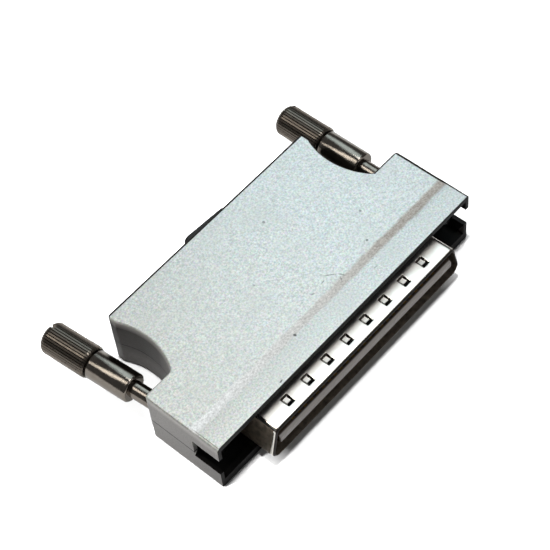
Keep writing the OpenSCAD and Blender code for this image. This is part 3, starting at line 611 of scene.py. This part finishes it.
def contact_row(name, side):
    """One row of contacts on the bar's upper or lower face."""
    y0, y1, y2, y3 = STRIP_Y
    half_t = CONTACT_T / 2
    path = [(y0, -half_t / 2), (y0 + STRIP_NOSE, 0), (y1, 0), (y2, TAIL_RISE), (y3, TAIL_RISE)]
    offset = CONTACT_Z + half_t - PLUG_Z
    rings = []
    for y, rise in path:
        low, high = offset + rise - half_t, offset + rise + half_t
        corners = [(-CONTACT_HALF, low), (CONTACT_HALF, low), (CONTACT_HALF, high), (-CONTACT_HALF, high)]
        rings.append([(x, y, PLUG_Z + side * z) for x, z in corners])
    mesh = loft(name + "_strip", rings, capped=True)
    for face in mesh.polygons:
        face.use_smooth = False
    strip = put_mesh(name + "_strip", mesh)
    piece = put_mesh(name, bpy.data.meshes.new(name))
    row = piece.modifiers.new("row", "NODES")
    row.node_group = row_tree
    for title, value in (("Strip", strip), ("Count", ROW_COUNT), ("Pitch", PITCH), ("Finish", gold_flash)):
        row[sockets[title].identifier] = value
    settle(piece)
    bpy.data.objects.remove(strip)
    return piece


for name, node, side in (("gold_row_upper", "upper_contacts", 1), ("gold_row_lower", "lower_contacts", -1)):
    piece = contact_row(name, side)
    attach(piece, "hood")
    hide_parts(node)

# Tail divider: a plain bar that keeps the two rows of solder tails apart inside the hood,
# moulded in off-white polyester and pushed in between the rows from behind. It is faintly clouded.
POLYESTER_CLOUD = 1.5 * MM
pale_polyester = mottled("pale_polyester", POLYESTER_CLOUD, "#C2BCAE", "#DAD5C8", Roughness=0.5)[0]
dress(pale_polyester, "tail_divider")

# Cable bushing: black rubber, moulded in one, with a rim on both sides of the rear wall's hole.
# It keeps the cable's jacket off the edge of the hole, and its surface has a faint grey bloom.
RUBBER_BLOOM = 0.8 * MM
RUBBER_RELIEF = (0.25, 0.03 * MM)
black_rubber = mottled("black_rubber", RUBBER_BLOOM, "#101010", "#2A2928", detail=5, relief=RUBBER_RELIEF,
                       Roughness=0.62)[0]
dress(black_rubber, "cable_bushing")

# Small screws, nuts and clips: clamp and cover screws in plated steel, hex nuts, and spring-steel clips
# that hold the thumbscrews captive in the ears. Handling leaves them grey and unevenly bright.
STEEL_RUB = 0.5 * MM
STEEL_GLOSS = (0.25, 0.45)
small_steel = mottled("plated_small_steel", STEEL_RUB, "#6A6A67", "#98978F", detail=4, gloss=STEEL_GLOSS,
                      Metallic=1)[0]
dress(small_steel, "clamp_screws", "clamp_nuts", "cover_screws", "left_clip", "right_clip")

# Brass sleeves: turned inserts that are pressed into the bosses of the upper cover
# and take the cover screws, which come up from below. They are warm yellow and unevenly bright.
BRASS_TURNING = 0.4 * MM
BRASS_GLOSS = (0.25, 0.4)
turned_brass = mottled("turned_brass", BRASS_TURNING, "#A5803E", "#CDAA62", gloss=BRASS_GLOSS, Metallic=1)[0]
dress(turned_brass, "cover_inserts")

# Thumbscrews: turned steel, black nickel plated, with a rolled M2.6 thread, a groove for the clip,
# a smooth shank, and a straight-knurled head with a slot across its end. The left one leans in its hole.
SCREW_X = 24.7
SCREW_Z = 5.1
LEFT_LEAN = 4.5
LEFT_SLOT_TURN = 108
RIGHT_SLOT_TURN = -50
TIP_S = -11.6
TIP_CHAMFER = 0.4
THREAD_END = -2.2
THREAD_PITCH = 0.45
THREAD_DEEP = 0.26
THREAD_FLANK = 0.42
THREAD_FADE = 0.4
THREAD_STEP = 0.06
NECK_R = 1.3
NECK_END = 4.6
GROOVE = (-1.3755, -0.7755, 0.88)
GROOVE_EDGE = 0.03
SHANK_R = 2.25
SHANK_END = 11.8
SHANK_ROUND = 0.35
SHANK_EDGE = 0.12
ROUND_STEP = 15
EDGE_STEP = 30
UNDERCUT_R = 1.8
HEAD_LAP = 0.1
LAP_TAPER = (0.3, 0.05)
HEAD_START = 12.1
HEAD_L = 8.1
HEAD_R = 2.5
HEAD_CHAMFER = 0.45
COLLAR_CHAMFER = 0.15
RIDGES = 38
RIDGE_DEEP = 0.2
RIDGE_POINTS = 5
RIDGE_PHASE = 0.1
GROOVE_SHARE = 0.1
HEAD_ROWS = 27
SLOT = (0.8, 1.0)
SLOT_CLEAR = 1.0
SCREW_SIDES = 72
SCREW_SMOOTH = math.radians(30)

# Black nickel: dark brown grey and glossy, with fine turning marks, duller on the knurl, and blackest in
# the ear by painted shade
NICKEL_WEAR = 0.7 * MM
WEAR_SPAN = (0.3, 0.7)
SHANK_GLOSS = (0.07, 0.14)
GRIP_DULLER = 0.19
TURN_PITCH = 0.06 * MM
TURN_RELIEF = 0.0015 * MM
WAVE_UNIT = math.pi / 10
black_nickel, tree, shader, place = start_finish("black_nickel_plate", Metallic=1)
wear = add(tree, "ShaderNodeTexNoise", {"Vector": place, "Scale": 1 / NICKEL_WEAR, "Detail": 5,
                                        "Roughness": 0.6})
base = add(tree, "ShaderNodeMix", {0: wear.outputs["Fac"], 6: linear("#6C665F"), 7: linear("#918A81")},
           data_type="RGBA")
length = add(tree, "ShaderNodeSeparateXYZ", {0: place})
grip = add(tree, "ShaderNodeMath", {0: length.outputs["Y"], 1: SHANK_END * MM}, operation="GREATER_THAN")
base = add(tree, "ShaderNodeMix", {0: grip.outputs[0], 6: base.outputs[2], 7: linear("#686159")},
           data_type="RGBA")
# Painted shade: the part inside the ear, in front of its rear wall, is near black
ear_shade = add(tree, "ShaderNodeMath", {0: length.outputs["Y"], 1: 0}, operation="LESS_THAN")
base = add(tree, "ShaderNodeMix", {0: ear_shade.outputs[0], 6: base.outputs[2], 7: linear("#1B1918")},
           data_type="RGBA")
tree.links.new(base.outputs[2], shader.inputs["Base Color"])
gloss = add(tree, "ShaderNodeMapRange", {"Value": wear.outputs["Fac"], "From Min": WEAR_SPAN[0],
                                         "From Max": WEAR_SPAN[1], "To Min": SHANK_GLOSS[0],
                                         "To Max": SHANK_GLOSS[1]})
gloss = add(tree, "ShaderNodeMath", {0: grip.outputs[0], 1: GRIP_DULLER, 2: gloss.outputs[0]},
            operation="MULTIPLY_ADD")
tree.links.new(gloss.outputs[0], shader.inputs["Roughness"])
marks = add(tree, "ShaderNodeTexWave", {"Vector": place, "Scale": WAVE_UNIT / TURN_PITCH},
            bands_direction="Y")
bump = add(tree, "ShaderNodeBump", {"Height": marks.outputs["Fac"], "Strength": 1, "Distance": TURN_RELIEF})
tree.links.new(bump.outputs[0], shader.inputs["Normal"])

knurl_tree = bpy.data.node_groups.new("knurled_head", "GeometryNodeTree")
sockets = {}
for title, kind in (("Ridges", "NodeSocketInt"), ("Radius", "NodeSocketFloat"), ("Depth", "NodeSocketFloat"),
                    ("Length", "NodeSocketFloat"), ("Chamfer", "NodeSocketFloat"),
                    ("Collar", "NodeSocketFloat"), ("Finish", "NodeSocketMaterial")):
    sockets[title] = knurl_tree.interface.new_socket(title, in_out="INPUT", socket_type=kind)
knurl_tree.interface.new_socket("Geometry", in_out="OUTPUT", socket_type="NodeSocketGeometry")
given = knurl_tree.nodes.new("NodeGroupInput").outputs
around = add(knurl_tree, "ShaderNodeMath", {0: given["Ridges"], 1: RIDGE_POINTS}, operation="MULTIPLY")
blank = add(knurl_tree, "GeometryNodeMeshCylinder", {"Vertices": around.outputs[0], "Radius": given["Radius"],
                                                     "Side Segments": HEAD_ROWS, "Depth": given["Length"]})
where = add(knurl_tree, "GeometryNodeInputPosition").outputs[0]
here = add(knurl_tree, "ShaderNodeSeparateXYZ", {0: where})

# Each ridge has one groove beside it, at the middle of its share of the turn
turn = add(knurl_tree, "ShaderNodeMath", {0: here.outputs["Y"], 1: here.outputs["X"]}, operation="ARCTAN2")
turn = add(knurl_tree, "ShaderNodeMath", {0: turn.outputs[0], 1: 1 / (2 * math.pi), 2: 1.0},
           operation="MULTIPLY_ADD")
turn = add(knurl_tree, "ShaderNodeMath", {0: turn.outputs[0], 1: given["Ridges"], 2: RIDGE_PHASE},
           operation="MULTIPLY_ADD")
phase = add(knurl_tree, "ShaderNodeMath", {0: turn.outputs[0]}, operation="FRACT")
groove = add(knurl_tree, "ShaderNodeMath", {0: phase.outputs[0], 1: 0.5, 2: GROOVE_SHARE},
             operation="COMPARE")
groove = add(knurl_tree, "ShaderNodeMath", {0: groove.outputs[0], 1: -1.0}, operation="MULTIPLY")
reach = add(knurl_tree, "ShaderNodeMath", {0: groove.outputs[0], 1: given["Depth"], 2: given["Radius"]},
            operation="MULTIPLY_ADD")

# The chamfers at both ends cap the radius
half = add(knurl_tree, "ShaderNodeMath", {0: given["Length"], 1: 0.5}, operation="MULTIPLY")
high = add(knurl_tree, "ShaderNodeMath", {0: here.outputs["Z"]}, operation="ABSOLUTE")
room = add(knurl_tree, "ShaderNodeMath", {0: half.outputs[0], 1: high.outputs[0]}, operation="SUBTRACT")
outer = add(knurl_tree, "ShaderNodeMath", {0: here.outputs["Z"], 1: 0}, operation="GREATER_THAN")
edge = add(knurl_tree, "ShaderNodeMix", {0: outer.outputs[0], 2: given["Collar"], 3: given["Chamfer"]},
           data_type="FLOAT")
bevel = add(knurl_tree, "ShaderNodeMath", {0: given["Radius"], 1: edge.outputs[0]}, operation="SUBTRACT")
bevel = add(knurl_tree, "ShaderNodeMath", {0: bevel.outputs[0], 1: room.outputs[0]}, operation="ADD")
reach = add(knurl_tree, "ShaderNodeMath", {0: reach.outputs[0], 1: bevel.outputs[0]}, operation="MINIMUM")
share = add(knurl_tree, "ShaderNodeMath", {0: reach.outputs[0], 1: given["Radius"]}, operation="DIVIDE")
stretch = add(knurl_tree, "ShaderNodeCombineXYZ", {"X": share.outputs[0], "Y": share.outputs[0], "Z": 1})
moved = add(knurl_tree, "ShaderNodeVectorMath", {0: where, 1: stretch.outputs[0]}, operation="MULTIPLY")
cut = add(knurl_tree, "GeometryNodeSetPosition", {"Geometry": blank.outputs["Mesh"],
                                                  "Position": moved.outputs[0]})
real = add(knurl_tree, "GeometryNodeRealizeInstances", {0: cut.outputs[0]})
faced = add(knurl_tree, "GeometryNodeSetMaterial", {"Geometry": real.outputs[0], "Material": given["Finish"]})
add(knurl_tree, "NodeGroupOutput", {0: faced.outputs[0]})


def knurled_head(name, slot_turn):
    """Head with its knurl and its slot, along Z from the undercut to its end."""
    head = put_mesh(name, bpy.data.meshes.new(name))
    knurl = head.modifiers.new("knurl", "NODES")
    knurl.node_group = knurl_tree
    for title, value in (("Ridges", RIDGES), ("Radius", HEAD_R * MM), ("Depth", RIDGE_DEEP * MM),
                         ("Length", HEAD_L * MM), ("Chamfer", HEAD_CHAMFER * MM),
                         ("Collar", COLLAR_CHAMFER * MM), ("Finish", black_nickel)):
        knurl[sockets[title].identifier] = value
    settle(head)
    half_w, half_l = SLOT[0] / 2, 2 * HEAD_R
    turn = math.radians(slot_turn)
    corners = [Matrix.Rotation(turn, 3, "Z") @ Vector(p) for p in
               ((-half_l, -half_w, 0), (half_l, -half_w, 0), (half_l, half_w, 0), (-half_l, half_w, 0))]
    top = HEAD_L / 2
    ends = [[(p.x, p.y, z) for p in corners] for z in (top - SLOT[1], top + SLOT_CLEAR)]
    cutter = put_mesh(name + "_slot", loft(name + "_slot", ends, capped=True))
    slot = head.modifiers.new("slot", "BOOLEAN")
    slot.operation = "DIFFERENCE"
    slot.solver = "EXACT"
    slot.object = cutter
    settle(head)
    bpy.data.objects.remove(cutter)
    mesh = head.data
    mesh.transform(Matrix.Translation((0, 0, (HEAD_START + HEAD_L / 2) * MM)))
    bpy.data.objects.remove(head)
    return mesh


def screw_rings():
    """Rings of the turned body from its tip to the inside of its head, along Z."""
    turns = [2 * math.pi * k / SCREW_SIDES for k in range(SCREW_SIDES)]
    rings = []
    steps = int((THREAD_END - TIP_S) / THREAD_STEP)
    for i in range(steps + 1):
        s = TIP_S + (THREAD_END - TIP_S) * i / steps
        fade = min(1.0, (THREAD_END - s) / THREAD_FADE)
        ring = []
        for k, turn in enumerate(turns):
            phase = (s / THREAD_PITCH - k / SCREW_SIDES) % 1
            groove = max(0.0, 1 - abs(phase - 0.5) / THREAD_FLANK)
            r = min(NECK_R - THREAD_DEEP * groove * fade, NECK_R - TIP_CHAMFER + (s - TIP_S))
            ring.append((r * math.cos(turn), r * math.sin(turn), s))
        rings.append(ring)
    low, high, groove_r = GROOVE
    profile = [(NECK_R, low - GROOVE_EDGE), (NECK_R - GROOVE_EDGE, low), (groove_r, low + HAIR),
               (groove_r, high - HAIR), (NECK_R - GROOVE_EDGE, high), (NECK_R, high + GROOVE_EDGE),
               (NECK_R, NECK_END - HAIR), (SHANK_R - SHANK_ROUND, NECK_END)]
    for t in range(ROUND_STEP, 91, ROUND_STEP):
        profile.append((SHANK_R - SHANK_ROUND * (1 - math.sin(math.radians(t))),
                        NECK_END + SHANK_ROUND * (1 - math.cos(math.radians(t)))))
    for t in range(0, 91, EDGE_STEP):
        profile.append((SHANK_R - SHANK_EDGE * (1 - math.cos(math.radians(t))),
                        SHANK_END - SHANK_EDGE * (1 - math.sin(math.radians(t)))))
    profile += [(UNDERCUT_R, SHANK_END + HAIR), (UNDERCUT_R, HEAD_START + HEAD_LAP - LAP_TAPER[1]),
                (UNDERCUT_R - LAP_TAPER[0], HEAD_START + HEAD_LAP)]
    for r, s in profile:
        rings.append([(r * math.cos(t), r * math.sin(t), s) for t in turns])
    return rings


for side, body, node, lean, slot_turn in ((-1, "left_screw", "left_thumbscrew", LEFT_LEAN, LEFT_SLOT_TURN),
                                          (1, "right_screw", "right_thumbscrew", 0, RIGHT_SLOT_TURN)):
    name = "turned_" + node
    bm = bmesh.new()
    for mesh in (loft(name, screw_rings(), capped=True), knurled_head(name + "_head", slot_turn)):
        bm.from_mesh(mesh)
    mesh = bpy.data.meshes.new(name)
    bm.to_mesh(mesh)
    bm.free()
    mesh.transform(Matrix.Translation((side * SCREW_X * MM, 0, SCREW_Z * MM))
                   @ Matrix.Rotation(math.radians(lean), 4, "Z") @ Matrix.Rotation(math.radians(-90), 4, "X"))
    mesh.materials.clear()
    mesh.materials.append(black_nickel)
    for face in mesh.polygons:
        face.use_smooth = True
    mesh.set_sharp_from_angle(angle=SCREW_SMOOTH)
    piece = put_mesh(name, mesh)
    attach(piece, body)
    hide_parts(node)

# Floor: a plain pale sheet that keeps the hood's shadow. Lamps of its own make it white to the camera,
# metal mirrors it pale, and it throws little light back on the hood.
FLOOR_HALF = 1.5
FLOOR_CELLS = 4
FLOOR_DROP = 0.02 * MM
PAPER_CLOUD = 60 * MM
white_floor, tree, shader, place = start_finish("pale_floor")
tree.nodes.remove(shader)
path = add(tree, "ShaderNodeLightPath")
mirrored = add(tree, "ShaderNodeMath", {0: path.outputs["Is Glossy Ray"],
                                        1: path.outputs["Is Transmission Ray"]}, operation="MAXIMUM")
paper = add(tree, "ShaderNodeTexNoise", {"Vector": place, "Scale": 1 / PAPER_CLOUD})
shade = add(tree, "ShaderNodeMix", {0: paper.outputs["Fac"], 6: linear("#A6A6A6"), 7: linear("#A9A9A9")},
            data_type="RGBA")
sheet = add(tree, "ShaderNodeBsdfDiffuse", {"Color": shade.outputs[2]})
image = add(tree, "ShaderNodeBsdfDiffuse", {"Color": linear("#747474")})
dim = add(tree, "ShaderNodeBsdfDiffuse", {"Color": linear("#2C2C2C")})
mixed = add(tree, "ShaderNodeMixShader", {0: mirrored.outputs[0], 1: dim.outputs[0], 2: image.outputs[0]})
mixed = add(tree, "ShaderNodeMixShader", {0: path.outputs["Is Camera Ray"], 1: mixed.outputs[0],
                                          2: sheet.outputs[0]})
tree.links.new(mixed.outputs[0], tree.nodes["Material Output"].inputs["Surface"])
bm = bmesh.new()
bmesh.ops.create_grid(bm, x_segments=FLOOR_CELLS, y_segments=FLOOR_CELLS, size=FLOOR_HALF)
mesh = bpy.data.meshes.new("floor")
bm.to_mesh(mesh)
bm.free()
mesh.transform(Matrix.Translation((0, 0, -FLOOR_DROP)))
mesh.materials.append(white_floor)
floor = put_mesh("floor", mesh)

# Studio light: a narrow warm strip softbox behind on the left, a wider cool one behind on the right, one
# overhead and a weak one in front. Three lamps light the floor alone, so that it is white without more
# light on the hood. Each has its direction, distance and size in metres, radiance and colour.
TARGET = Vector((0, 0, 5 * MM))
SOFTBOXES = [
    ("strip_left", (-0.394, 0.423, 0.816), 0.6, (0.1, 0.36), 5.3, (1, 0.96, 0.9)),
    ("strip_right", (0.46, 0.42, 0.78), 0.6, (0.22, 0.45), 1.9, (0.76, 0.93, 1)),
    ("front_fill", (0.25, -0.8, 0.55), 0.8, (0.6, 0.4), 1.6, (1, 1, 1)),
    ("overhead", (0.2, 0.1, 1), 1.0, (0.3, 0.3), 9.7, (1, 1, 1))]
FLOOR_LAMPS = [
    ("floor_top", (-0.03, 0.01, 1), 1.0, (0.07, 0.07), 1500.0, (1, 1, 1)),
    ("floor_left", (-0.7, 0.35, 0.6), 1.0, (0.04, 0.2), 1450.0, (1, 1, 1)),
    ("floor_right", (0.7, 0.35, 0.6), 1.0, (0.04, 0.2), 420.0, (1, 1, 1))]


def softbox(name, towards, distance, size, radiance, color):
    """Rectangular softbox that faces the hood, of a given radiance."""
    lamp = bpy.data.lights.new(name, "AREA")
    lamp.shape = "RECTANGLE"
    lamp.size, lamp.size_y = size
    lamp.energy = radiance * math.pi * size[0] * size[1]
    lamp.color = color
    made = bpy.data.objects.new(name, lamp)
    bpy.context.scene.collection.objects.link(made)
    back = Vector(towards).normalized()
    made.location = TARGET + back * distance
    made.rotation_euler = back.to_track_quat("Z", "Y").to_euler()
    return made


for given in SOFTBOXES:
    softbox(*given)
lit = bpy.data.collections.new("lit_by_floor_lamps")
lit.objects.link(floor)
for given in FLOOR_LAMPS:
    lamp = softbox(*given)
    lamp.visible_glossy = False
    lamp.light_linking.receiver_collection = lit

# The room round the hood glows faintly, a little more from behind than from the front
ROOM_GLOW = (0.09, 0.16)
world = bpy.data.worlds.new("studio")
bpy.context.scene.world = world
world.use_nodes = True
tree = world.node_tree
aim = add(tree, "ShaderNodeSeparateXYZ", {0: add(tree, "ShaderNodeTexCoord").outputs["Generated"]})
glow = add(tree, "ShaderNodeMapRange", {"Value": aim.outputs["Y"], "From Min": -1, "From Max": 1,
                                        "To Min": ROOM_GLOW[0], "To Max": ROOM_GLOW[1]})
tree.links.new(glow.outputs[0], tree.nodes["Background"].inputs["Strength"])
tree.nodes["Background"].inputs["Color"].default_value = linear("#FFFFFF")

# Camera: a long lens from the front left, well above the hood, a little rolled.
# Its place, turn and focal length in pixels were fitted to the hood's corners.
CAMERA_AZIMUTH = math.radians(-42.97)
CAMERA_ELEVATION = math.radians(54.67)
CAMERA_ROLL = math.radians(-7.11)
CAMERA_EYE = (-98.45, -105.5, 212.44)
IMAGE_PX = 550
FOCAL_PX = 1762
LIFT_PX = 0.7
SENSOR = 36
CLIP = (0.01, 10)
camera = bpy.data.cameras.new("camera")
camera.sensor_width = SENSOR
camera.lens = FOCAL_PX / IMAGE_PX * SENSOR
camera.shift_y = -LIFT_PX / IMAGE_PX
camera.clip_start, camera.clip_end = CLIP
level = Vector((math.cos(CAMERA_AZIMUTH), math.sin(CAMERA_AZIMUTH), 0))
away = Vector((math.sin(CAMERA_AZIMUTH), -math.cos(CAMERA_AZIMUTH), 0))
back = away * math.cos(CAMERA_ELEVATION) + Vector((0, 0, math.sin(CAMERA_ELEVATION)))
up = back.cross(level)
right = level * math.cos(CAMERA_ROLL) + up * math.sin(CAMERA_ROLL)
up = up * math.cos(CAMERA_ROLL) - level * math.sin(CAMERA_ROLL)
eye = bpy.data.objects.new("camera", camera)
bpy.context.scene.collection.objects.link(eye)
eye.matrix_world = (Matrix.Translation(Vector(CAMERA_EYE) * MM)
                    @ Matrix((right, up, back)).transposed().to_4x4())
bpy.context.scene.camera = eye
bpy.context.scene.view_settings.view_transform = "Standard"
